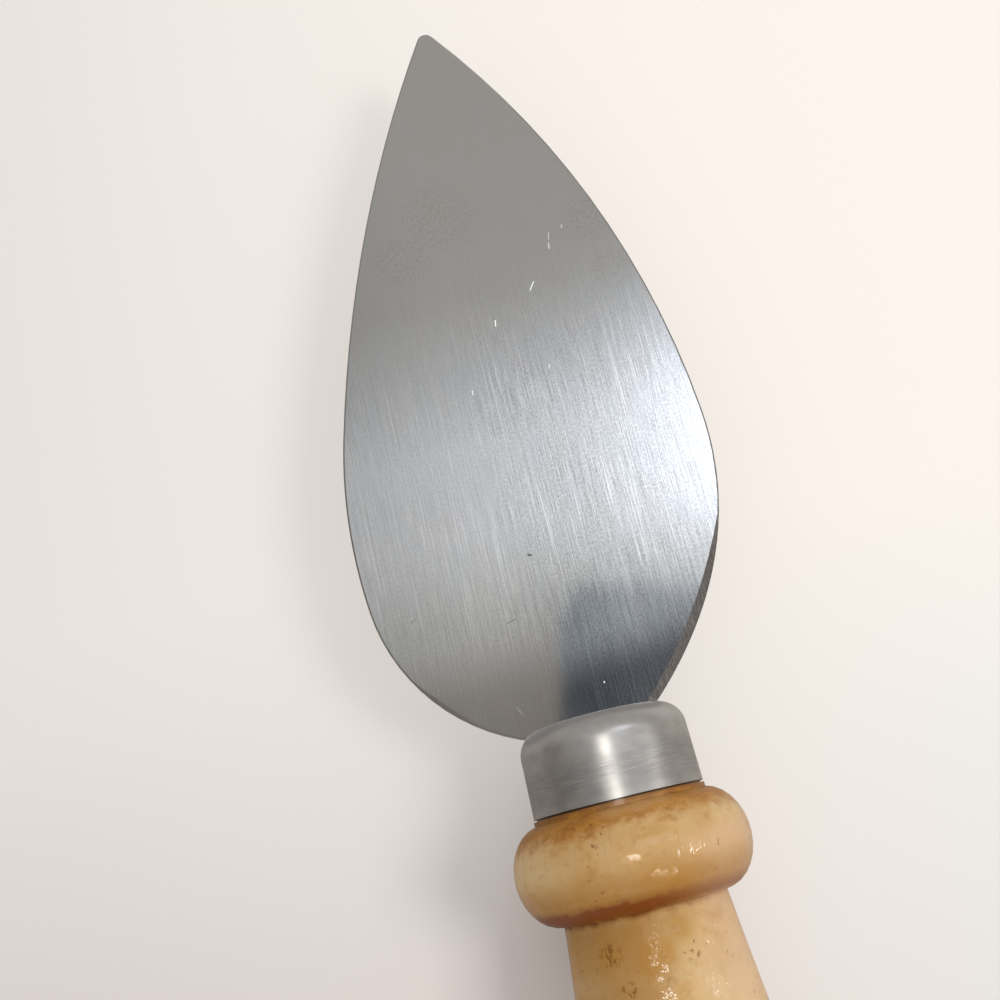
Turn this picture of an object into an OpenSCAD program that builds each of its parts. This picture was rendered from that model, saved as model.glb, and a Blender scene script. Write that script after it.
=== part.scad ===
// Hard-cheese knife: a leaf-shaped blade, a domed metal ferrule and a turned wooden handle.
// The blade points along +Y and lies flat, its ground side down. Lengths are in millimetres.
// The origin is under the middle of the knife, on the surface it lies on.

/* [Blade] */
// Distance from the ferrule to where the two edges would meet in a sharp point
point_l = 115.3; // [90:0.1:150]
// Radius that blunts the point
tip_r = 1.4; // [0.8:0.1:3]
// Thickness of the steel
blade_t = 2; // [1.6:0.1:3]
// Thickness that the grinding leaves at the edge
edge_t = 1.2; // [0.6:0.1:1.4]
// Width of the bevel ground all round the underside
bevel_w = 2.5; // [1:0.1:6]
// Distance of the left edge from the centre line where the blade is widest
left_w = 28.7; // [22:0.1:36]
// Distance from the ferrule to the widest place of the left edge
left_belly_y = 30.4; // [25:0.1:40]
// Radius of the left edge at its widest place
left_belly_r = 80; // [65:1:95]
// Distance of the right edge from the centre line where the blade is widest
right_w = 26.7; // [22:0.1:36]
// Distance from the ferrule to the widest place of the right edge
right_belly_y = 37.5; // [30:0.1:45]
// Radius of the right edge at its widest place
right_belly_r = 48; // [44:1:60]
// Distance of the left edge from the centre line at the heel
left_heel_w = 9.2; // [8:0.1:10.2]
// Distance of the right edge from the centre line at the heel
right_heel_w = 7; // [6:0.1:9]
// Width of the narrow bevel all round the upper side
rim_w = 0.25; // [0.2:0.05:0.5]
// Radius of the two flats sharpened on the upper side near the heel, one along each edge
whet_r = 80; // [75:1:110]
// Width of the right flat where it is widest
right_whet_w = 1.4; // [0.6:0.1:1.6]
// Width of the left flat where it is widest
left_whet_w = 0.6; // [0.5:0.1:1.2]

/* [Tang] */
// Width of the tang behind the heel
tang_w = 8; // [5:0.5:8.5]
// Width of the tang at its end
tang_end_w = 5; // [3:0.5:8]
// Thickness of the tang
tang_t = 1.5; // [1:0.1:1.5]
// Length of the tang inside the handle
tang_l = 62; // [30:1:75]

/* [Ferrule] */
// Diameter of the ferrule at its open rim
ferrule_d = 24; // [22:0.5:28]
// Length of the ferrule to the top of its dome
ferrule_l = 12.4; // [10:0.1:18]
// How much smaller the radius is at the shoulder than at the rim
ferrule_taper = 0.15; // [0:0.05:0.5]
// Radius of the rounded shoulder
shoulder_r = 3.5; // [2:0.1:4]
// Height of the dome above the shoulder
dome_h = 0.7; // [0.2:0.1:1]
// Thickness of the ferrule's wall
ferrule_wall = 0.8; // [0.5:0.1:1.2]
// Depth to which the heel of the blade sits in the ferrule's slot
seat_d = 2; // [1.8:0.1:3]

/* [Handle] */
// Diameter of the bead behind the ferrule
bead_d = 33; // [30:0.2:38]
// Length of the bead
bead_l = 13.6; // [10:0.2:16]
// Distance from the ferrule's rim to the middle of the bead
bead_y = 7.6; // [7.6:0.1:10]
// Diameter of the short collar between the ferrule and the bead
collar_d = 24.2; // [23:0.2:28]
// Width of the groove under the ferrule's rim
groove_w = 0.3; // [0.1:0.1:0.6]
// Diameter of the neck behind the bead
neck_d = 22.6; // [20:0.2:23]
// Diameter of the grip where it is thickest
grip_d = 31; // [27:0.5:33]
// Distance from the ferrule's rim to the thickest place of the grip
grip_y = 62; // [50:1:66]
// Length of the handle behind the ferrule's rim
handle_l = 97; // [90:1:110]
// Radius of the rounded end
butt_r = 9.5; // [5:0.5:11]
// Diameter of the flat in the middle of the end
butt_flat_d = 6; // [2:0.5:12]
// Diameter of the hole drilled for the tang
bore_d = 9.2; // [8.8:0.2:12]
// Depth of that hole past the end of the tang
bore_extra = 3; // [1:0.5:6]

/* [Hidden] */
// Clearance between parts that are slid together
slip = 0.1;
// Steps in each arc of the outlines
arc_steps = 14;
// Smoothness of the turned parts
$fn = 96;
// Height of the thin plates between which the bevel is stretched
skin_t = 0.02;
// Angle at which a belly arc hands over to the front arc and to the heel arc
left_front_a = 12.8;
left_heel_a = 6.5;
right_front_a = 2.8;
right_heel_a = 35;
// Direction in which a flat faces, below the line straight out from the centre line
left_whet_a = 43;
right_whet_a = 37;
// Slope of the flats and of the narrow bevel
whet_slope = 0.75;
// How fast the radius grows at the start of the neck
flare_slope = 0.085;
// Length of the neck's flare, as a share of the way from the neck to the thickest place
flare_share = 0.4;
// Length over which the grip levels out there, as a share of the flare's length
level_share = 0.6;
// Length of each end of the grip's rear curve, as a share of the way to the rounded end
fall_share = 0.5;
// Angle at which the grip closes in where its rounded end begins
butt_lean = 14;

ferrule_r = ferrule_d / 2;
shoulder_w = ferrule_r - ferrule_taper;
shoulder_y = ferrule_l - dome_h - shoulder_r;
spigot_r = ferrule_r - ferrule_wall - ferrule_taper - slip;
spigot_edge = shoulder_r / 2;
heel_y = ferrule_l - seat_d;
neck_r = neck_d / 2;
grip_r = grip_d / 2;
tang_end_y = heel_y - tang_l;
bore_end_y = tang_end_y - bore_extra;

// Point at the angle a on a circle with centre c
function on_circle(c, r, a) = c + r * [cos(a), sin(a)];

// Radius of the arc that leaves p with its outward normal at the angle a and passes through q
function arc_radius(p, a, q) =
    let (d = q - p)
    -(d * d) / (2 * (d * [cos(a), sin(a)]));

// Angle at which the point p lies on a circle with centre c
function angle_at(c, p) = atan2(p.y - c.y, p.x - c.x);

// Points along an arc from the angle a0 to the angle a1
function arc_points(c, r, a0, a1) =
    [for (i = [0:arc_steps]) on_circle(c, r, a0 + (a1 - a0) * i / arc_steps)];

// The same along an oval with the half widths rx and ry
function oval_points(c, rx, ry, a0, a1) =
    [for (p = arc_points([0, 0], 1, a0, a1)) c + [rx * p.x, ry * p.y]];

// Upper crossing of the circle with centre a and radius ra and the one with centre b and radius rb
function crossing(a, ra, b, rb) =
    let (
        d = b - a,
        l = norm(d),
        along = (l * l + ra * ra - rb * rb) / (2 * l),
        across = sqrt(ra * ra - along * along),
        u = d / l
    )
    a + along * u + across * [-u.y, u.x] * (u.x < 0 ? -1 : 1);

// The point where both edges would meet, for an edge on the right of the centre line
sharp = [0, ferrule_l + point_l];

// One edge, on the right of the centre line, as the centres, radii and angles of its three arcs
function edge_arcs(w, y, r, front_a, heel_a, heel_w) =
    let (
        belly_c = [w - r, ferrule_l + y],
        front_p = on_circle(belly_c, r, front_a),
        front_r = arc_radius(front_p, front_a, sharp),
        front_c = on_circle(front_p, -front_r, front_a),
        rear_p = on_circle(belly_c, r, -heel_a),
        heel_p = [heel_w, heel_y],
        rear_r = arc_radius(rear_p, -heel_a, heel_p),
        rear_c = on_circle(rear_p, -rear_r, -heel_a)
    )
    [
        [front_c, front_r, front_a],
        [belly_c, r, -heel_a],
        [rear_c, rear_r, angle_at(rear_c, heel_p)]
    ];

right_arcs = edge_arcs(right_w, right_belly_y, right_belly_r, right_front_a, right_heel_a, right_heel_w);
left_arcs = edge_arcs(left_w, left_belly_y, left_belly_r, left_front_a, left_heel_a, left_heel_w);

// Mirrors a point or a list of points to the other side of the centre line
function flip(p) = [-p.x, p.y];
function flip_all(pts) = [for (i = [len(pts) - 1:-1:0]) flip(pts[i])];

// Points of one edge from the angle tip_a to the heel, moved inwards by the distance inset
function edge_points(arcs, tip_a, inset) = concat(
    arc_points(arcs[0][0], arcs[0][1] - inset, tip_a, arcs[0][2]),
    arc_points(arcs[1][0], arcs[1][1] - inset, arcs[0][2], arcs[1][2]),
    arc_points(arcs[2][0], arcs[2][1] - inset, arcs[1][2], arcs[2][2])
);

// Centre of a circle of radius r that touches both front arcs from inside
function tip_centre(r) =
    crossing(flip(left_arcs[0][0]), left_arcs[0][1] - r, right_arcs[0][0], right_arcs[0][1] - r);
tip_c = tip_centre(tip_r);
tip_y = tip_c.y + tip_r;

// Outline of the blade, moved inwards by the distance inset
function blade_outline(inset) =
    let (
        c = inset > tip_r ? tip_centre(inset) : tip_c,
        right_a = angle_at(right_arcs[0][0], c),
        left_a = angle_at(left_arcs[0][0], flip(c)),
        cap = inset < tip_r ? arc_points(tip_c, tip_r - inset, 180 - left_a, right_a) : []
    )
    concat(cap, edge_points(right_arcs, right_a, inset), flip_all(edge_points(left_arcs, left_a, inset)));

// Point at the share t of a curve that leaves a towards b and reaches d from c
function bend(a, b, c, d, t) =
    a * pow(1 - t, 3) + 3 * b * t * pow(1 - t, 2) + 3 * c * t * t * (1 - t) + d * pow(t, 3);
function bend_points(a, b, c, d) = [for (i = [1:arc_steps]) bend(a, b, c, d, i / arc_steps)];

// Puts the knife's own lines in place: its axis on X = 0 becomes the turned parts' axis
module placed() {
    rest_r = max(bead_d / 2, grip_r);
    translate([(left_w - right_w) / 2, (handle_l - tip_y) / 2, rest_r]) children();
}

// Turns an outline, drawn with its radius along X and its length along Y, about the knife's axis
module turned() {
    rotate([-90, 0, 0]) rotate_extrude() children();
}

// Plate with a given outline between two heights
module plate(points, z0, z1) {
    translate([0, 0, z0]) linear_extrude(z1 - z0) polygon(points);
}

// The ferrule as a solid dome, moved inwards by the distance inset
module dome(inset) {
    r = shoulder_r - inset;
    c = [shoulder_w - shoulder_r, shoulder_y];
    turned() polygon([
        [0, 0], [ferrule_r - inset, 0], c + [r, 0], c + [0, r], [0, ferrule_l - inset]
    ]);
    turned() translate(c) circle(r);
}

// Solid that narrows from one outline to another, each moved inwards by its inset
module bevelled(inset0, z0, inset1, z1) {
    hull() {
        plate(blade_outline(inset0), z0, z0 + skin_t);
        plate(blade_outline(inset1), z1 - skin_t, z1);
    }
}

// The steel outside the ferrule: its upper face and edge, the bevel under it and the one above it
module blade_leaf() {
    top = blade_t / 2;
    land = top - edge_t;
    rim_z = top - whet_slope * rim_w;
    difference() {
        union() {
            plate(blade_outline(0), land, rim_z);
            bevelled(bevel_w, -top, 0, land);
            bevelled(0, rim_z, rim_w, top);
        }
        dome(-slip);
        translate([0, 0, top]) {
            whetted_flat(right_arcs[2], right_whet_a, right_whet_w);
            mirror([1, 0, 0]) whetted_flat(left_arcs[2], left_whet_a, left_whet_w);
        }
    }
}

// Ring that takes away a flat of width w, facing the angle a below the x axis, from the heel arc
module whetted_flat(heel_arc, a, w) {
    edge_p = on_circle(heel_arc[0], heel_arc[1], -a);
    c = on_circle(edge_p, -w - whet_r, -a);
    reach = 2 * whet_slope * w;
    spread = reach / whet_slope;
    translate([c.x, c.y, -reach]) difference() {
        cylinder(h = 2 * reach, r = whet_r + left_w);
        cylinder(h = 2 * reach, r1 = whet_r + spread, r2 = whet_r - spread);
    }
}

// Heel and tang, thinner than the leaf
module tang() {
    heel_t = blade_t - 2 * slip;
    plate([
        [-left_heel_w, heel_y], [right_heel_w, heel_y],
        [right_heel_w, ferrule_l + slip], [-left_heel_w, ferrule_l + slip]
    ], -heel_t / 2, heel_t / 2);
    plate([
        [-tang_w / 2, ferrule_l], [-tang_w / 2, heel_y], [-tang_end_w / 2, tang_end_y],
        [tang_end_w / 2, tang_end_y], [tang_w / 2, heel_y], [tang_w / 2, ferrule_l]
    ], -tang_t / 2, tang_t / 2);
}

module blade() {
    color("#a6a7a9") placed() {
        blade_leaf();
        tang();
    }
}

module ferrule() {
    slot_t = blade_t + 2 * slip;
    color("#9b9894") placed() difference() {
        dome(0);
        dome(ferrule_wall);
        translate([-left_heel_w - slip, heel_y, -slot_t / 2])
            cube([left_heel_w + right_heel_w + 2 * slip, 2 * seat_d, slot_t]);
    }
}

// Outline of half the handle: spigot, groove, collar, bead, neck, grip and rounded end
module handle_half() {
    groove_r = ferrule_r - ferrule_wall / 2;
    bead_c = [neck_r, -bead_y];
    bead_h = bead_d / 2 - neck_r;
    bead_a = acos((collar_d / 2 - neck_r) / bead_h);
    neck_p = bead_c - [0, bead_l / 2];
    swell_p = [grip_r, -grip_y];
    flare_l = flare_share * (grip_y + neck_p.y);
    butt_c = [butt_flat_d / 2, butt_r - handle_l];
    butt_p = on_circle(butt_c, butt_r, -butt_lean);
    fall_l = fall_share * (handle_l - butt_r - grip_y);
    polygon(concat(
        [[0, heel_y], [spigot_r - spigot_edge, heel_y], [spigot_r, heel_y - spigot_edge]],
        [[spigot_r, 0], [groove_r, 0], [groove_r, -groove_w], [collar_d / 2, -groove_w]],
        oval_points(bead_c, bead_h, bead_l / 2, bead_a, -90),
        bend_points(
            neck_p,
            neck_p + flare_l * [flare_slope, -1],
            swell_p + [0, level_share * flare_l],
            swell_p
        ),
        bend_points(
            swell_p,
            swell_p - [0, fall_l],
            butt_p + fall_l * [sin(butt_lean), cos(butt_lean)],
            butt_p
        ),
        arc_points(butt_c, butt_r, -butt_lean, -90),
        [[0, -handle_l]]
    ));
}

module bore() {
    translate([0, bore_end_y, 0]) rotate([-90, 0, 0]) cylinder(h = heel_y - bore_end_y, d = bore_d);
}

module handle() {
    color("#cfa871") placed() difference() {
        turned() handle_half();
        bore();
    }
}

// Cured resin that fills the hole round the tang
module tang_resin() {
    color("#d9c48c") placed() difference() {
        bore();
        tang();
    }
}

blade();
ferrule();
handle();
tang_resin();
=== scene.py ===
import math

import bpy
from mathutils import Matrix, Vector


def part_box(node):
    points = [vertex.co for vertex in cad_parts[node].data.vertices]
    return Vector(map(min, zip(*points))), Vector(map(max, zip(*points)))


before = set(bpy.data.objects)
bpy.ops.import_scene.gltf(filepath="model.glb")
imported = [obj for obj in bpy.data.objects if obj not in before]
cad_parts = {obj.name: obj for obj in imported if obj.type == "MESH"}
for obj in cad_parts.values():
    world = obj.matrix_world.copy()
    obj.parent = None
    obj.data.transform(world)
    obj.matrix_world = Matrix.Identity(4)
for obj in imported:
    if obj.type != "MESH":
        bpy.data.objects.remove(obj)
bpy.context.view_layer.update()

MM = 0.001
SAME_POINT = 1e-6
SHARP_ANGLE = math.radians(25)
BLACK = (0, 0, 0)

# How much of the floor shows to the camera as a glow of its plain colour, a painted light that lifts its
# shadows, and as a dimmer one in mirrors.
LIFT_IN_SHADOW = 0.08
LIFT_OUTSIDE = 0.62
DIMMED = 0.8
FLOOR_SIZE = 8

# The middle of the ferrule's rim, on the knife's axis. Places on the knife are counted from here.
rim_lo, rim_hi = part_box("ferrule")
RIM = Vector(((rim_lo.x + rim_hi.x) / 2, rim_lo.y, (rim_lo.z + rim_hi.z) / 2))

# The photograph's camera, from the fit of its round parts: place in mm from the rim, and its axes.
CAMERA_PLACE = Vector((-12.5, -4.6, 178.2))
CAMERA_RIGHT = Vector((0.9728, -0.2299, -0.0296))
CAMERA_FORWARD = Vector((0.0352, 0.2728, -0.9614))
CAMERA_LENS = 45
CAMERA_SENSOR = 36
CAMERA_NEAR = 0.01

# The groove behind the bead, along Y in mm.
GROOVE = -13.5

# Amber stains on the handle: place along X and Y in mm, size, strength.
STAINS = (
    ((-1.2, -19.8), 3.6, 0.8),
    ((3.0, -17.0), 3.0, 0.5),
    ((-6.5, -18.6), 2.4, 0.6),
    ((4.5, -9.6), 6.0, 0.3),
    ((8.5, -3.8), 4.5, 0.35),
)

# Groups of dark pits on the handle: place along X and Y in mm and size.
PITS = (
    ((-6.5, -18.6), 2.2),
    ((-5.3, -23.0), 1.5),
    ((3.6, -20.4), 1.4),
    ((-5.6, -5.4), 0.9),
)

# Patches of crackled varnish that glitter: place along X and Y in mm, size, strength.
CRACKLES = (
    ((7.2, -15.2), 3.0, 3.0),
    ((6.6, -18.4), 2.0, 2.6),
    ((6.6, -24.2), 3.2, 2.2),
    ((-0.8, -17.5), 3.0, 0.7),
)

# Mottled patches on the blade's face: place along X and Y in mm and size.
MOTTLES = (
    ((-5.0, 93.0), 9.0),
    ((-12.0, 87.0), 7.0),
    ((17.5, 87.0), 6.5),
    ((19.5, 78.0), 5.0),
)

# Marks on the blade's face in mm, as from, to, half width, strength: bright scratches, then dark ones.
BRIGHT_MARKS = (
    ((7.2, 78.8), (6.2, 77.3), 0.12, 1.0),
    ((11.4, 86.4), (11.1, 85.0), 0.1, 0.5),
    ((11.0, 84.7), (10.8, 83.5), 0.14, 0.6),
    ((13.8, 87.2), (13.5, 86.6), 0.14, 0.5),
    ((-0.1, 73.9), (-0.3, 72.7), 0.13, 1.0),
    ((-6.1, 63.5), (-6.2, 62.7), 0.12, 0.8),
    ((6.2, 64.8), (6.0, 64.0), 0.12, 0.7),
    ((-10.8, 15.8), (-9.9, 13.9), 0.2, 0.13),
    ((2.2, 16.3), (2.1, 16.0), 0.14, 1.0),
)
DARK_MARKS = (
    ((-4.1, 36.7), (-3.4, 36.4), 0.24, 0.8),
    ((-9.4, 27.5), (-7.8, 27.9), 0.12, 0.45),
    ((-22.7, 30.8), (-21.8, 31.2), 0.12, 0.4),
)

# Colours of the three finishes: base tones first, then the tones that are mixed in, in order.
STEEL = {
    "even dark": (0.575, 0.575, 0.575),
    "even light": (0.605, 0.605, 0.605),
    "line dark": (0.35, 0.35, 0.355),
    "line light": (0.79, 0.79, 0.79),
    "grit light": (0.84, 0.84, 0.84),
    "grit dark": (0.36, 0.36, 0.36),
    "bright line": (0.94, 0.94, 0.94),
    "crossing line": (0.9, 0.9, 0.9),
    "speck": (0.4, 0.38, 0.36),
    "film": (0.55, 0.585, 0.61),
    "stain": (0.35, 0.33, 0.3),
    "torn": (0.98, 0.98, 0.96),
    "mark": (0.08, 0.075, 0.07),
}
SATIN = {
    "dark": (0.4, 0.385, 0.372),
    "light": (0.485, 0.468, 0.45),
    "ring": (0.75, 0.74, 0.72),
    "furrow": (0.25, 0.245, 0.24),
    "rim": (0.3, 0.29, 0.28),
    "belly": (0.2, 0.192, 0.185),
    "shoulder": (0.78, 0.76, 0.75),
}
WOOD = {
    "pale": (0.62, 0.43, 0.21),
    "plain": (0.6, 0.38, 0.155),
    "deep": (0.46, 0.24, 0.06),
    "grain": (0.4, 0.2, 0.06),
    "blot": (0.42, 0.19, 0.045),
    "amber": (0.42, 0.17, 0.013),
    "dark amber": (0.3, 0.1, 0.008),
    "strip": (0.55, 0.31, 0.12),
    "bead end": (0.34, 0.15, 0.018),
    "painted bead shade": (0.4, 0.19, 0.04),
    "drip": (0.38, 0.19, 0.03),
    "groove": (0.2, 0.05, 0.006),
    "right": (0.6, 0.38, 0.24),
    "grip left": (0.37, 0.175, 0.037),
    "grip right": (0.66, 0.47, 0.28),
    "stain": (0.4, 0.19, 0.03),
    "pit": (0.2, 0.07, 0.012),
    "grime": (0.12, 0.045, 0.01),
    "joint": (0.05, 0.025, 0.01),
}

# What the blade mirrors from south to north, as (north, colour), and the walls from the floor up.
CEILING = (
    (0.09, (0.30, 0.27, 0.24)),
    (0.13, (0.37, 0.34, 0.305)),
    (0.17, (0.58, 0.57, 0.545)),
    (0.21, (0.70, 0.70, 0.68)),
    (0.26, (0.82, 0.82, 0.825)),
    (0.33, (0.82, 0.83, 0.84)),
    (0.40, (0.61, 0.61, 0.61)),
    (0.47, (0.50, 0.485, 0.46)),
    (0.74, (0.49, 0.46, 0.43)),
)
WALLS = (
    (0.0, (0.185, 0.165, 0.148)),
    (0.25, (0.23, 0.207, 0.187)),
    (0.6, (0.28, 0.256, 0.232)),
)

# Lights that only mirrors see. Overhead: middle and reach along east and north, colour. In the east:
# middle and sharpness along Y and Z of the sight line, colour.
WINDOW = ((0.5, 0.29), (0.225, 0.113), (5.6, 6.05, 6.95))
WINDOW_LIMIT = 0.35
OVERHEAD_LIGHTS = (
    ((-0.06, 0.0), (0.075, 0.033), (62, 61, 58)),
    ((0.36, -0.76), (0.07, 0.06), (40, 36, 30)),
)
EAST_LIGHTS = (
    ((-0.1, 0.46), (4, 8), (0.5, 0.5, 0.5)),
    ((-0.17, 0.57), (20, 16), (46, 45, 44)),
)


class Graph:
    """A node tree under construction, with short calls for the nodes that it is made of."""

    def __init__(self, owner):
        owner.use_nodes = True
        self.nodes = owner.node_tree.nodes
        self.links = owner.node_tree.links

    def add(self, kind, **settings):
        node = self.nodes.new(kind)
        for name, value in settings.items():
            setattr(node, name, value)
        return node

    def feed(self, target, value):
        """Links an output to an input, or writes a constant on it."""
        if isinstance(value, bpy.types.NodeSocket):
            self.links.new(value, target)
        elif isinstance(value, (int, float)) or target.type != "RGBA":
            target.default_value = value
        else:
            target.default_value = (*value, 1)

    def math(self, operation, *values, clamp=False):
        node = self.add("ShaderNodeMath", operation=operation, use_clamp=clamp)
        for target, value in zip(node.inputs, values):
            self.feed(target, value)
        return node.outputs["Value"]

    def plus(self, a, b):
        return self.math("ADD", a, b)

    def minus(self, a, b):
        return self.math("SUBTRACT", a, b)

    def times(self, a, b):
        return self.math("MULTIPLY", a, b)

    def most(self, a, b):
        return self.math("MAXIMUM", a, b)

    def least(self, a, b):
        return self.math("MINIMUM", a, b)

    def absolute(self, value):
        return self.math("ABSOLUTE", value)

    def split(self, vector):
        node = self.add("ShaderNodeSeparateXYZ")
        self.feed(node.inputs["Vector"], vector)
        return node.outputs["X"], node.outputs["Y"], node.outputs["Z"]

    def step(self, value, low, high):
        """A soft step: 0 where value is at low, 1 where it is at high, which may be the lower of the two."""
        node = self.add("ShaderNodeMapRange", interpolation_type="SMOOTHSTEP")
        for name, number in (("Value", value), ("From Min", low), ("From Max", high)):
            self.feed(node.inputs[name], number)
        return node.outputs["Result"]

    def band(self, value, start, full, fading, end):
        """A soft band: 0 up to start, 1 between full and fading, and 0 again from end on."""
        return self.times(self.step(value, start, full), self.step(value, end, fading))

    def bell(self, a, b):
        """A round glow: 1 where a and b are 0, and 0.37 where one of them is 1."""
        return self.math("EXPONENT", self.times(self.plus(self.times(a, a), self.times(b, b)), -1))

    def ramp(self, value, *stops):
        """A colour ramp through (position, colour) stops."""
        node = self.add("ShaderNodeValToRGB")
        self.feed(node.inputs["Fac"], value)
        elements = node.color_ramp.elements
        while len(elements) < len(stops):
            elements.new(1)
        for element, (position, colour) in zip(elements, stops):
            element.position = position
            element.color = (*colour, 1)
        return node.outputs["Color"]

    def mix(self, share, a, b, blend="MIX"):
        """Colour a with the given share of colour b."""
        node = self.add("ShaderNodeMix", data_type="RGBA", blend_type=blend)
        colours = [s for s in node.inputs if s.type == "RGBA"]
        self.feed(node.inputs["Factor"], share)
        self.feed(colours[0], a)
        self.feed(colours[1], b)
        return next(s for s in node.outputs if s.type == "RGBA")

    def tint(self, share, colour, factor):
        """The colour, multiplied by factor where share is 1."""
        return self.mix(share, colour, self.mix(1, colour, factor, "MULTIPLY"))

    def lit(self, colour, share, light):
        """The colour with a share of a light added."""
        return self.mix(1, colour, self.mix(share, BLACK, light), "ADD")


class Finish(Graph):
    """A material under construction, with coordinates in millimetres from the ferrule's rim."""

    def __init__(self, name):
        self.material = bpy.data.materials.new(name)
        super().__init__(self.material)
        self.shader = self.nodes["Principled BSDF"]
        place = self.add("ShaderNodeTexCoord").outputs["Object"]
        shift = self.add("ShaderNodeVectorMath", operation="SUBTRACT")
        scale = self.add("ShaderNodeVectorMath", operation="SCALE")
        self.feed(shift.inputs[0], place)
        self.feed(shift.inputs[1], tuple(RIM))
        self.feed(scale.inputs[0], shift.outputs["Vector"])
        self.feed(scale.inputs["Scale"], 1 / MM)
        self.place = scale.outputs["Vector"]
        self.x, self.y, self.z = self.split(self.place)

    def set(self, name, value):
        self.feed(self.shader.inputs[name], value)

    def noise(self, sizes, detail=2, roughness=0.5, warp=0.0):
        """Noise whose grains have about the given sizes in mm along X, Y and Z."""
        stretch = self.add("ShaderNodeVectorMath", operation="DIVIDE")
        self.feed(stretch.inputs[0], self.place)
        self.feed(stretch.inputs[1], sizes)
        node = self.add("ShaderNodeTexNoise")
        self.feed(node.inputs["Vector"], stretch.outputs["Vector"])
        settings = {"Scale": 1, "Detail": detail, "Roughness": roughness, "Distortion": warp}
        for name, value in settings.items():
            self.feed(node.inputs[name], value)
        return node.outputs["Fac"]

    def bump(self, height, depth):
        """A normal for a relief of the given depth in mm."""
        node = self.add("ShaderNodeBump")
        self.feed(node.inputs["Strength"], 1)
        self.feed(node.inputs["Distance"], depth * MM)
        self.feed(node.inputs["Height"], height)
        return node.outputs["Normal"]

    def scratch(self, start, end, width):
        """1 on a straight scratch on the blade's face between two points, 0 away from it."""
        start, end = Vector(start), Vector(end)
        way = (end - start).normalized()
        middle = (start + end) / 2
        half = (end - start).length / 2
        dx, dy = self.minus(self.x, middle.x), self.minus(self.y, middle.y)
        along = self.absolute(self.plus(self.times(dx, way.x), self.times(dy, way.y)))
        across = self.absolute(self.minus(self.times(dx, way.y), self.times(dy, way.x)))
        return self.times(self.step(across, width, width / 3), self.step(along, half, 0.8 * half))

    def blotch(self, place, size):
        """1 in the middle of a round place, seen from above, and 0 from its edge on."""
        dx, dy = self.minus(self.x, place[0]), self.minus(self.y, place[1])
        off = self.math("SQRT", self.plus(self.times(dx, dx), self.times(dy, dy)))
        return self.step(off, size, 0)

    def patch(self, place, size):
        """A round place that is full over most of its width."""
        return self.step(self.blotch(place, size), 0, 0.6)


def brushed_steel():
    """Steel with brushed lines along Y, which are strongest on the lower half of the face, where their
    contrast is partly painted reflection.
    """
    m = Finish("brushed_steel")
    fine = m.noise((0.15, 4.5, 1), detail=4, roughness=0.7)
    hairs = m.noise((0.2, 18, 1), detail=2, roughness=0.6)
    long = m.noise((0.3, 26, 1), detail=1)
    crossing = m.noise((3.5, 0.12, 1), detail=2, roughness=0.6, warp=0.6)
    grit = m.noise((0.25, 0.4, 1), detail=2, roughness=0.7)
    specks = m.step(m.noise((0.35, 0.6, 1), detail=2, roughness=0.7), 0.47, 0.6)
    patches = m.noise((9, 14, 9), detail=2)
    stains = m.noise((0.9, 0.9, 0.9), detail=3, roughness=0.7)
    film = m.noise((5, 8, 1), detail=3)
    lines = m.plus(m.times(fine, 0.6), m.times(hairs, 0.4))

    # How strongly the brushed lines and bright hairlines show, partly real brushing and partly painted
    # reflection of the bright window: less towards the point, the left edge and the heel's left side.
    low = m.step(m.y, 87, 57)
    heel = m.times(m.step(m.y, 27, 18), m.step(m.x, 2, -4))
    brushed = m.times(low, m.plus(0.45, m.times(m.step(m.x, -12, 3), 0.55)))
    brushed = m.times(brushed, m.minus(1, m.times(heel, 0.75)))

    even = m.ramp(lines, (0.3, STEEL["even dark"]), (0.7, STEEL["even light"]))
    lined = m.ramp(lines, (0.37, STEEL["line dark"]), (0.63, STEEL["line light"]))
    lined = m.mix(m.times(m.step(grit, 0.5, 0.66), 0.5), lined, STEEL["grit light"])
    lined = m.mix(m.times(m.step(grit, 0.5, 0.34), 0.5), lined, STEEL["grit dark"])
    tone = m.mix(brushed, even, lined)
    bright = m.step(m.plus(long, m.times(m.minus(fine, 0.5), 0.25)), 0.61, 0.7)
    bright = m.times(m.times(bright, m.step(patches, 0.36, 0.55)), brushed)
    tone = m.mix(m.times(bright, 0.7), tone, STEEL["bright line"])
    crossed = m.times(m.step(crossing, 0.62, 0.74), low)
    tone = m.mix(m.times(crossed, 0.16), tone, STEEL["crossing line"])

    mottle = 0.12
    for place, size in MOTTLES:
        patch = m.step(m.times(m.blotch(place, size), m.plus(patches, 0.5)), 0, 0.6)
        mottle = m.most(mottle, patch)
    tone = m.mix(m.times(m.times(specks, mottle), 0.32), tone, STEEL["speck"])
    tone = m.mix(m.times(m.step(film, 0.42, 0.62), 0.2), tone, STEEL["film"])
    tone = m.mix(m.times(m.step(stains, 0.55, 0.8), 0.1), tone, STEEL["stain"])

    torn = 0
    for start, end, width, strength in BRIGHT_MARKS:
        torn = m.most(torn, m.times(m.scratch(start, end, width), strength))
    tone = m.mix(torn, tone, STEEL["torn"])
    for start, end, width, strength in DARK_MARKS:
        mark = m.times(m.scratch(start, end, width), strength)
        tone = m.mix(mark, tone, STEEL["mark"])

    m.set("Base Color", tone)
    m.set("Metallic", m.minus(1, torn))
    m.set("Roughness", m.plus(0.03, m.times(lines, 0.03)))
    m.set("Normal", m.bump(lines, 0.0004))
    return m.material


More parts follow.
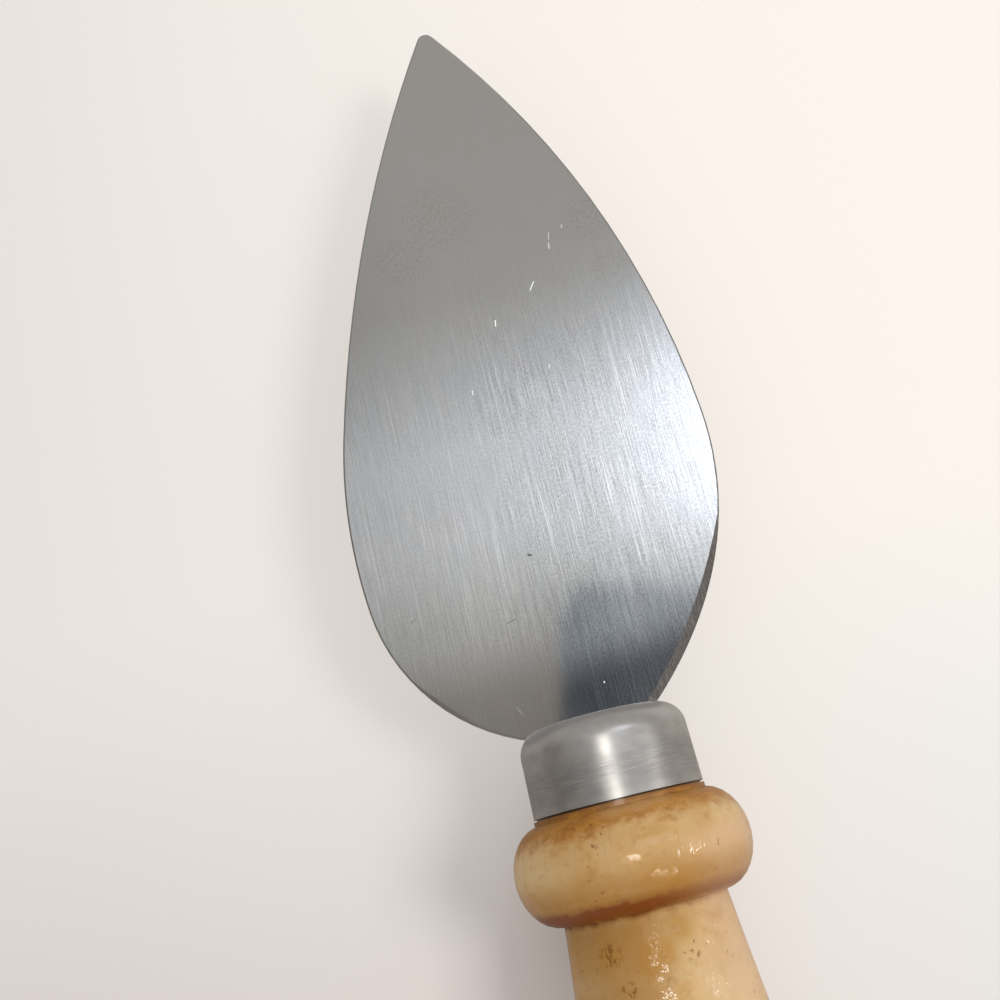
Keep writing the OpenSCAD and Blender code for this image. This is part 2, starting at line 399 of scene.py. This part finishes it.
def satin_ferrule():
    """Satin metal with turning scratches round its middle and worn patches, with painted shade at the rim and
    on the belly and painted light on the shoulder.
    """
    m = Finish("satin_ferrule")
    rings = m.noise((4, 0.11, 4), detail=2, roughness=0.6)
    clouds = m.noise((2.2, 1.6, 2.2), detail=3)
    worn = m.noise((2.6, 1.8, 2.6), detail=2)
    waist = m.band(m.y, 1.6, 2.8, 4.5, 6.5)
    belly = m.band(m.y, 0.5, 1.5, 5, 7)
    rim = m.step(m.y, 2.2, 0.8)
    shoulder = m.step(m.y, 7.8, 9.5)

    tone = m.ramp(clouds, (0.3, SATIN["dark"]), (0.7, SATIN["light"]))
    lined = m.times(m.step(rings, 0.54, 0.7), m.most(waist, m.step(worn, 0.5, 0.7)))
    tone = m.mix(m.times(lined, 0.5), tone, SATIN["ring"])
    furrows = m.times(waist, m.step(rings, 0.5, 0.4))
    tone = m.mix(m.times(furrows, 0.35), tone, SATIN["furrow"])
    # Painted shade at the rim and on the belly, which dims the highlight there, and painted light on the
    # shoulder.
    tone = m.mix(m.times(rim, 0.15), tone, SATIN["rim"])
    tone = m.mix(m.times(belly, 0.28), tone, SATIN["belly"])
    tone = m.mix(m.times(shoulder, 0.33), tone, SATIN["shoulder"])

    m.set("Base Color", tone)
    m.set("Metallic", 0.8)
    rough = m.plus(m.times(waist, 0.07), m.times(rim, 0.05))
    m.set("Roughness", m.plus(0.27, m.plus(rough, m.times(clouds, 0.05))))
    m.set("Normal", m.bump(m.plus(m.times(rings, 0.3), m.times(clouds, 1.5)), 0.0025))
    return m.material


def varnished_wood():
    """Pale wood under an amber varnish that is thick in the grooves and crackled on the neck."""
    m = Finish("varnished_wood")
    grain = m.noise((0.5, 9, 0.5), detail=3, roughness=0.6, warp=0.4)
    clouds = m.noise((5, 4, 5), detail=3, warp=0.5)
    blots = m.noise((1.9, 1.5, 1.9), detail=4, roughness=0.65)
    pits = m.noise((0.55, 0.7, 0.55), detail=2)
    groups = m.noise((4, 6, 4), detail=2)
    upper = m.step(m.z, 2, 5)
    ragged = m.times(m.minus(blots, 0.5), 4)

    wood = m.ramp(clouds, (0.3, WOOD["pale"]), (0.55, WOOD["plain"]), (0.75, WOOD["deep"]))
    wood = m.mix(m.times(m.step(grain, 0.5, 0.75), 0.18), wood, WOOD["grain"])
    wood = m.mix(m.times(m.step(blots, 0.52, 0.75), 0.4), wood, WOOD["blot"])

    # The amber ring next to the ferrule, with a paler strip at its front.
    left = m.step(m.x, 2, -8)
    near_rim = m.step(m.plus(m.plus(m.y, ragged), m.times(left, 0.4)), -4.7, -1.8)
    amber = m.ramp(blots, (0.4, WOOD["amber"]), (0.7, WOOD["dark amber"]))
    wood = m.mix(m.times(near_rim, 0.92), wood, amber)
    strip = m.step(m.plus(m.y, m.times(ragged, 0.7)), -2.6, -1.6)
    strip = m.times(strip, m.band(m.x, -5, -2, 4, 7))
    wood = m.mix(m.times(strip, 0.6), wood, WOOD["strip"])

    # The bead: darker towards the groove, and painted shade on its lower left.
    on_bead = m.step(m.y, -15, GROOVE)
    below = m.times(m.step(m.plus(m.y, ragged), -7, -11.5), on_bead)
    wood = m.mix(m.times(below, m.plus(0.3, blots)), wood, WOOD["bead end"])
    # Painted shade on the lower left of the bead, away from the light.
    lower = m.times(m.step(m.y, -3, -5), m.times(on_bead, m.band(m.x, -14, -8, 2, 7)))
    wood = m.mix(m.times(lower, 0.32), wood, WOOD["painted bead shade"])

    # Varnish that ran from the groove, and the deep amber in the groove itself.
    drip = m.step(m.plus(m.y, m.times(ragged, 2)), -24, -16)
    drip = m.times(drip, m.step(m.y, -12.5, GROOVE))
    drip = m.times(drip, m.step(m.plus(m.x, m.times(ragged, 2)), 9, -3))
    wood = m.mix(m.times(drip, 0.7), wood, WOOD["drip"])
    off_groove = m.absolute(m.minus(m.y, GROOVE))
    fold = m.step(m.plus(off_groove, m.times(ragged, 0.7)), 2, 0)
    dense = m.plus(0.35, m.plus(blots, m.times(m.step(m.x, 9, -5), 0.5)))
    wood = m.mix(m.math("MULTIPLY", fold, dense, clamp=True), wood, WOOD["groove"])

    # A paler, pinker tone on the right, and the front of the grip: browner on the left, paler on the right.
    right = m.times(m.step(m.y, -4.5, -7), m.minus(1, m.times(below, 0.6)))
    right = m.times(m.step(m.x, 3, 10), right)
    wood = m.mix(m.times(right, 0.5), wood, WOOD["right"])
    front = m.band(m.y, -60, -40, -16, -14.5)
    veil = m.times(m.step(m.x, 3, -3), m.plus(0.4, m.times(m.step(m.x, -12, -7), 0.35)))
    wood = m.mix(m.times(front, veil), wood, WOOD["grip left"])
    paler = m.plus(0.1, m.times(m.step(m.y, -18, -22), 0.35))
    paler = m.times(m.times(front, m.step(m.x, 1, 6)), paler)
    wood = m.mix(paler, wood, WOOD["grip right"])

    for place, size, strength in STAINS:
        cover = m.plus(0.4, m.times(blots, 1.6))
        stain = m.math("MULTIPLY", m.times(m.blotch(place, size), upper), cover, clamp=True)
        wood = m.mix(m.times(stain, strength), wood, WOOD["stain"])
    holes = m.times(m.step(pits, 0.62, 0.74), m.step(groups, 0.5, 0.62))
    for place, size in PITS:
        group = m.times(upper, m.patch(place, size))
        holes = m.most(holes, m.times(m.step(pits, 0.46, 0.62), group))
    wood = m.mix(m.times(holes, 0.75), wood, WOOD["pit"])

    # Dirt in the joint with the ferrule.
    grimy = m.step(m.plus(m.y, m.times(ragged, 0.4)), -1.3, -0.4)
    wood = m.mix(m.times(grimy, 0.6), wood, WOOD["grime"])
    wood = m.mix(m.step(m.y, -0.35, -0.1), wood, WOOD["joint"])

    m.set("Base Color", wood)
    m.set("Roughness", 0.45)
    m.set("Specular IOR Level", 0.2)
    m.set("Coat Roughness", 0.06)
    m.set("Normal", m.bump(m.plus(grain, m.times(clouds, 3)), 0.03))

    # The varnish: folds on the right, ripples and crackles on the neck, and duller patches.
    neck = m.step(m.y, -13, -14.5)
    ripples = m.times(m.noise((1.3, 1.8, 1.3), detail=2), m.times(neck, m.step(m.y, -40, -24)))
    folds = m.times(m.noise((0.9, 5, 0.9), detail=1), m.step(m.x, 2, 5))
    streaks = m.plus(m.times(grain, 0.2), m.times(folds, 1.7))
    relief = m.plus(clouds, m.times(blots, 0.7))
    relief = m.plus(relief, m.plus(m.times(ripples, 1.8), streaks))
    crackled = 0
    for place, size, strength in CRACKLES:
        crackled = m.most(crackled, m.times(m.patch(place, size), strength))
    crackled = m.times(crackled, upper)
    relief = m.plus(relief, m.times(m.noise((0.45, 0.5, 0.45), detail=1), crackled))
    gloss = m.most(m.least(crackled, 1), m.step(m.noise((3.5, 3, 3.5)), 0.42, 0.6))
    dull = m.times(m.times(neck, 0.5), m.minus(1, gloss))
    dull = m.plus(dull, m.plus(m.times(near_rim, 0.35), m.times(fold, 0.4)))
    m.set("Coat Weight", m.minus(0.6, dull))
    m.set("Coat Normal", m.bump(relief, 0.1))
    return m.material


def cured_resin():
    m = Finish("cured_resin")
    haze = m.noise((2, 2, 2), detail=3)
    m.set("Base Color", m.ramp(haze, (0.3, (0.6, 0.5, 0.3)), (0.7, (0.72, 0.62, 0.42))))
    m.set("Roughness", m.plus(0.3, m.times(haze, 0.2)))
    return m.material


def even_shading():
    """Nodes for a modifier that joins doubled points and shades smoothly but for the sharp edges."""
    tree = bpy.data.node_groups.new("even_shading", "GeometryNodeTree")
    tree.is_modifier = True
    for way in ("INPUT", "OUTPUT"):
        tree.interface.new_socket("Geometry", in_out=way, socket_type="NodeSocketGeometry")
    start, end = tree.nodes.new("NodeGroupInput"), tree.nodes.new("NodeGroupOutput")
    join = tree.nodes.new("GeometryNodeMergeByDistance")
    join.inputs["Distance"].default_value = SAME_POINT
    drop = tree.nodes.new("GeometryNodeRemoveAttribute")
    drop.inputs["Name"].default_value = "custom_normal"
    faces = tree.nodes.new("GeometryNodeSetShadeSmooth")
    faces.domain = "FACE"
    edges = tree.nodes.new("GeometryNodeSetShadeSmooth")
    edges.domain = "EDGE"
    edges.inputs["Shade Smooth"].default_value = False
    angle = tree.nodes.new("GeometryNodeInputMeshEdgeAngle")
    sharp = tree.nodes.new("FunctionNodeCompare")
    sharp.operation = "GREATER_THAN"
    sharp.inputs["B"].default_value = SHARP_ANGLE
    tree.links.new(angle.outputs["Unsigned Angle"], sharp.inputs["A"])
    tree.links.new(sharp.outputs["Result"], edges.inputs["Selection"])
    chain = (start, join, drop, faces, edges, end)
    for a, b in zip(chain, chain[1:]):
        tree.links.new(a.outputs["Geometry"], b.inputs["Geometry"])
    return tree


def dress(node, material):
    """Gives a CAD node its finish and even shading."""
    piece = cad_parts[node]
    piece.data.materials.clear()
    piece.data.materials.append(material)
    piece.modifiers.new("even_shading", "NODES").node_group = shading


def add_camera():
    forward = CAMERA_FORWARD.normalized()
    up = CAMERA_RIGHT.normalized().cross(forward).normalized()
    right = forward.cross(up)
    data = bpy.data.cameras.new("camera")
    data.sensor_width = CAMERA_SENSOR
    data.lens = CAMERA_LENS
    data.clip_start = CAMERA_NEAR
    camera = bpy.data.objects.new("camera", data)
    turn = Matrix((right, up, -forward)).transposed().to_4x4()
    camera.matrix_world = Matrix.Translation(RIM + CAMERA_PLACE * MM) @ turn
    bpy.context.scene.collection.objects.link(camera)
    bpy.context.scene.camera = camera


def add_floor():
    """A pale sheet. What the camera sees of it is lifted, as in the photograph, and mirrors see it darker."""
    bpy.ops.mesh.primitive_plane_add(size=FLOOR_SIZE)
    floor = bpy.context.object
    floor.name = "floor"
    material = bpy.data.materials.new("floor_paper")
    g = Graph(material)
    x, y, z = g.split(g.add("ShaderNodeTexCoord").outputs["Object"])

    # Painted light and shade on the sheet: paler and warmer towards the north-east, darker towards the
    # south-west.
    across = g.plus(x, g.times(g.least(y, 0.03), 1.2))
    paper = g.mix(g.step(across, -0.13, 0.1), (0.735, 0.7, 0.685), (0.95, 0.885, 0.825))
    # Painted shade in the south-west, beside the handle, and a slighter one in the south-east.
    painted_shade_south_west = g.times(g.step(y, 0.02, -0.05), g.step(x, 0.03, -0.1))
    paper = g.tint(painted_shade_south_west, paper, (0.895, 0.85, 0.815))
    south_east = g.times(g.step(y, 0.03, -0.02), g.step(x, 0.02, 0.06))
    paper = g.tint(south_east, paper, (0.935, 0.968, 0.985))
    shader = g.nodes["Principled BSDF"]
    g.feed(shader.inputs["Base Color"], paper)
    g.feed(shader.inputs["Roughness"], 0.8)
    g.feed(shader.inputs["Specular IOR Level"], 0.1)

    rays = g.add("ShaderNodeLightPath")
    # For the camera the sheet partly glows in its own colour, a painted light that lifts its shadows.
    lift = g.add("ShaderNodeEmission")
    dim = g.add("ShaderNodeEmission")
    lifted = g.add("ShaderNodeMixShader")
    mirrored = g.add("ShaderNodeMixShader")
    g.feed(lift.inputs["Color"], paper)
    g.feed(lift.inputs["Strength"], 1)
    # What mirrors see of the sheet is a fixed dim glow, darker to the west: painted shade where the handle's
    # shadow falls.
    g.feed(dim.inputs["Color"], g.mix(g.step(x, 0, 0.05), (0.285, 0.245, 0.21), (0.45, 0.41, 0.37)))
    # Beside the handle, where its shadow falls, the sheet is lifted less.
    clear = g.most(g.step(y, -0.035, 0.01), g.step(x, 0.004, 0.018))
    share = g.plus(LIFT_IN_SHADOW, g.times(clear, LIFT_OUTSIDE - LIFT_IN_SHADOW))
    g.feed(lifted.inputs["Fac"], g.times(rays.outputs["Is Camera Ray"], share))
    g.feed(mirrored.inputs["Fac"], g.times(rays.outputs["Is Glossy Ray"], DIMMED))
    g.links.new(shader.outputs["BSDF"], lifted.inputs[1])
    g.links.new(lift.outputs["Emission"], lifted.inputs[2])
    g.links.new(lifted.outputs["Shader"], mirrored.inputs[1])
    g.links.new(dim.outputs["Emission"], mirrored.inputs[2])
    g.links.new(mirrored.outputs["Shader"], g.nodes["Material Output"].inputs["Surface"])
    floor.data.materials.append(material)


def add_lamp(name, azimuth, elevation, distance, size, power, colour):
    """A soft square lamp aimed at the knife. Azimuth 0 is along +X and 90 along +Y."""
    data = bpy.data.lights.new(name, "AREA")
    data.size = size
    data.energy = power
    data.color = colour
    lamp = bpy.data.objects.new(name, data)
    a, e = math.radians(azimuth), math.radians(elevation)
    way = Vector((math.cos(a) * math.cos(e), math.sin(a) * math.cos(e), math.sin(e)))
    lamp.location = way * distance
    lamp.rotation_mode = "QUATERNION"
    lamp.rotation_quaternion = way.to_track_quat("Z", "Y")
    lamp.visible_glossy = False
    bpy.context.scene.collection.objects.link(lamp)


def mirrored_room(g):
    """What metal and varnish mirror: a room with a window to the right and a dark shape below it."""
    # The mirrored sight line as a direction, and as a place east and north on a sheet overhead.
    x, y, z = g.split(g.add("ShaderNodeTexCoord").outputs["Generated"])
    height = g.most(z, 0.05)
    east, north = g.math("DIVIDE", x, height), g.math("DIVIDE", y, height)

    def spot(middle, reach):
        """A glow overhead, with its middle and reach along east and north."""
        a = g.math("DIVIDE", g.minus(east, middle[0]), reach[0])
        b = g.math("DIVIDE", g.minus(north, middle[1]), reach[1])
        return g.bell(a, b)

    ceiling = g.ramp(north, *CEILING)
    ceiling = g.mix(g.times(g.step(east, 0.04, -0.1), 0.22), ceiling, (0.1, 0.1, 0.1))
    middle, reach, colour = WINDOW
    ceiling = g.lit(ceiling, g.least(spot(middle, reach), WINDOW_LIMIT), colour)

    # The dark shape that the heel mirrors, with a soft shade round its left side.
    past = g.minus(east, g.times(north, 0.25))
    shade = g.times(g.band(past, -0.06, 0.02, 0.03, 0.07), g.step(north, 0.25, 0.17))
    ceiling = g.mix(g.times(shade, 0.15), ceiling, (0.05, 0.05, 0.05))
    side = g.step(past, 0.012, 0.024)
    top = g.step(g.plus(north, g.times(east, 0.27)), 0.234, 0.208)
    corner = g.step(g.minus(north, g.times(east, 1.3)), 0.102, 0.084)
    bottom = g.step(g.minus(north, g.times(east, 0.12)), 0.1535, 0.106)
    shape = g.mix(bottom, (0.34, 0.37, 0.405), (0.092, 0.1, 0.112))
    shape = g.tint(g.step(east, 0.07, 0.125), shape, (1.45, 1.42, 1.4))
    ceiling = g.mix(g.times(side, g.times(top, corner)), ceiling, shape)

    # South of the ceiling, and the walls, which are paler in the north and the south-east.
    behind = g.mix(g.step(east, -0.4, 0.7), (0.33, 0.315, 0.305), (0.58, 0.565, 0.54))
    behind = g.mix(g.step(east, 0.6, 1.2), behind, (0.46, 0.45, 0.43))
    ahead = g.times(g.step(north, 0.07, 0.085), g.step(g.absolute(g.minus(east, 0.08)), 0.32, 0.22))
    ahead = g.most(ahead, g.step(north, 0.2, 0.3))
    overhead = g.mix(ahead, behind, ceiling)
    wall = g.ramp(z, *WALLS)
    wall = g.mix(g.times(g.step(y, 0.3, 0.8), 0.8), wall, (0.385, 0.37, 0.355))
    south_east = g.times(g.step(x, 0.6, 0.9), g.step(y, -0.25, -0.1))
    wall = g.mix(g.times(south_east, 0.6), wall, (0.42, 0.4, 0.37))
    room = g.mix(g.step(z, 0.45, 0.8), wall, overhead)

    # Lights: two overhead for the highlights in the middle, two in the east for those on the right.
    for middle, reach, colour in OVERHEAD_LIGHTS:
        room = g.lit(room, spot(middle, reach), colour)
    in_east = g.step(x, 0.5, 0.7)
    for middle, sharpness, colour in EAST_LIGHTS:
        across = g.times(g.minus(y, middle[0]), sharpness[0])
        up = g.times(g.minus(z, middle[1]), sharpness[1])
        room = g.lit(room, g.times(g.bell(across, up), in_east), colour)
    return room


def add_room():
    """Even light all round for matt surfaces, the mirrored room for glossy ones, a pale backdrop."""
    world = bpy.data.worlds.new("room")
    g = Graph(world)
    even = g.nodes["Background"]
    mirrored = g.add("ShaderNodeBackground")
    seen = g.add("ShaderNodeBackground")
    g.feed(even.inputs["Color"], (0.97, 0.98, 1.0))
    g.feed(even.inputs["Strength"], 0.74)
    g.feed(mirrored.inputs["Color"], mirrored_room(g))
    g.feed(seen.inputs["Color"], (0.93, 0.9, 0.86))
    rays = g.add("ShaderNodeLightPath")
    glossy = g.add("ShaderNodeMixShader")
    final = g.add("ShaderNodeMixShader")
    direct = g.step(rays.outputs["Diffuse Depth"], 1, 0)
    g.feed(glossy.inputs["Fac"], g.times(rays.outputs["Is Glossy Ray"], direct))
    g.links.new(even.outputs["Background"], glossy.inputs[1])
    g.links.new(mirrored.outputs["Background"], glossy.inputs[2])
    g.feed(final.inputs["Fac"], rays.outputs["Is Camera Ray"])
    g.links.new(glossy.outputs["Shader"], final.inputs[1])
    g.links.new(seen.outputs["Background"], final.inputs[2])
    g.links.new(final.outputs["Shader"], g.nodes["World Output"].inputs["Surface"])
    bpy.context.scene.world = world


shading = even_shading()
add_camera()
add_floor()
add_room()
add_lamp("window", azimuth=-13, elevation=56, distance=1.2, size=0.42, power=6.3, colour=(1, 0.97, 0.93))
dress("blade", brushed_steel())
dress("ferrule", satin_ferrule())
dress("handle", varnished_wood())
dress("tang_resin", cured_resin())

bpy.context.scene.view_settings.view_transform = "Standard"
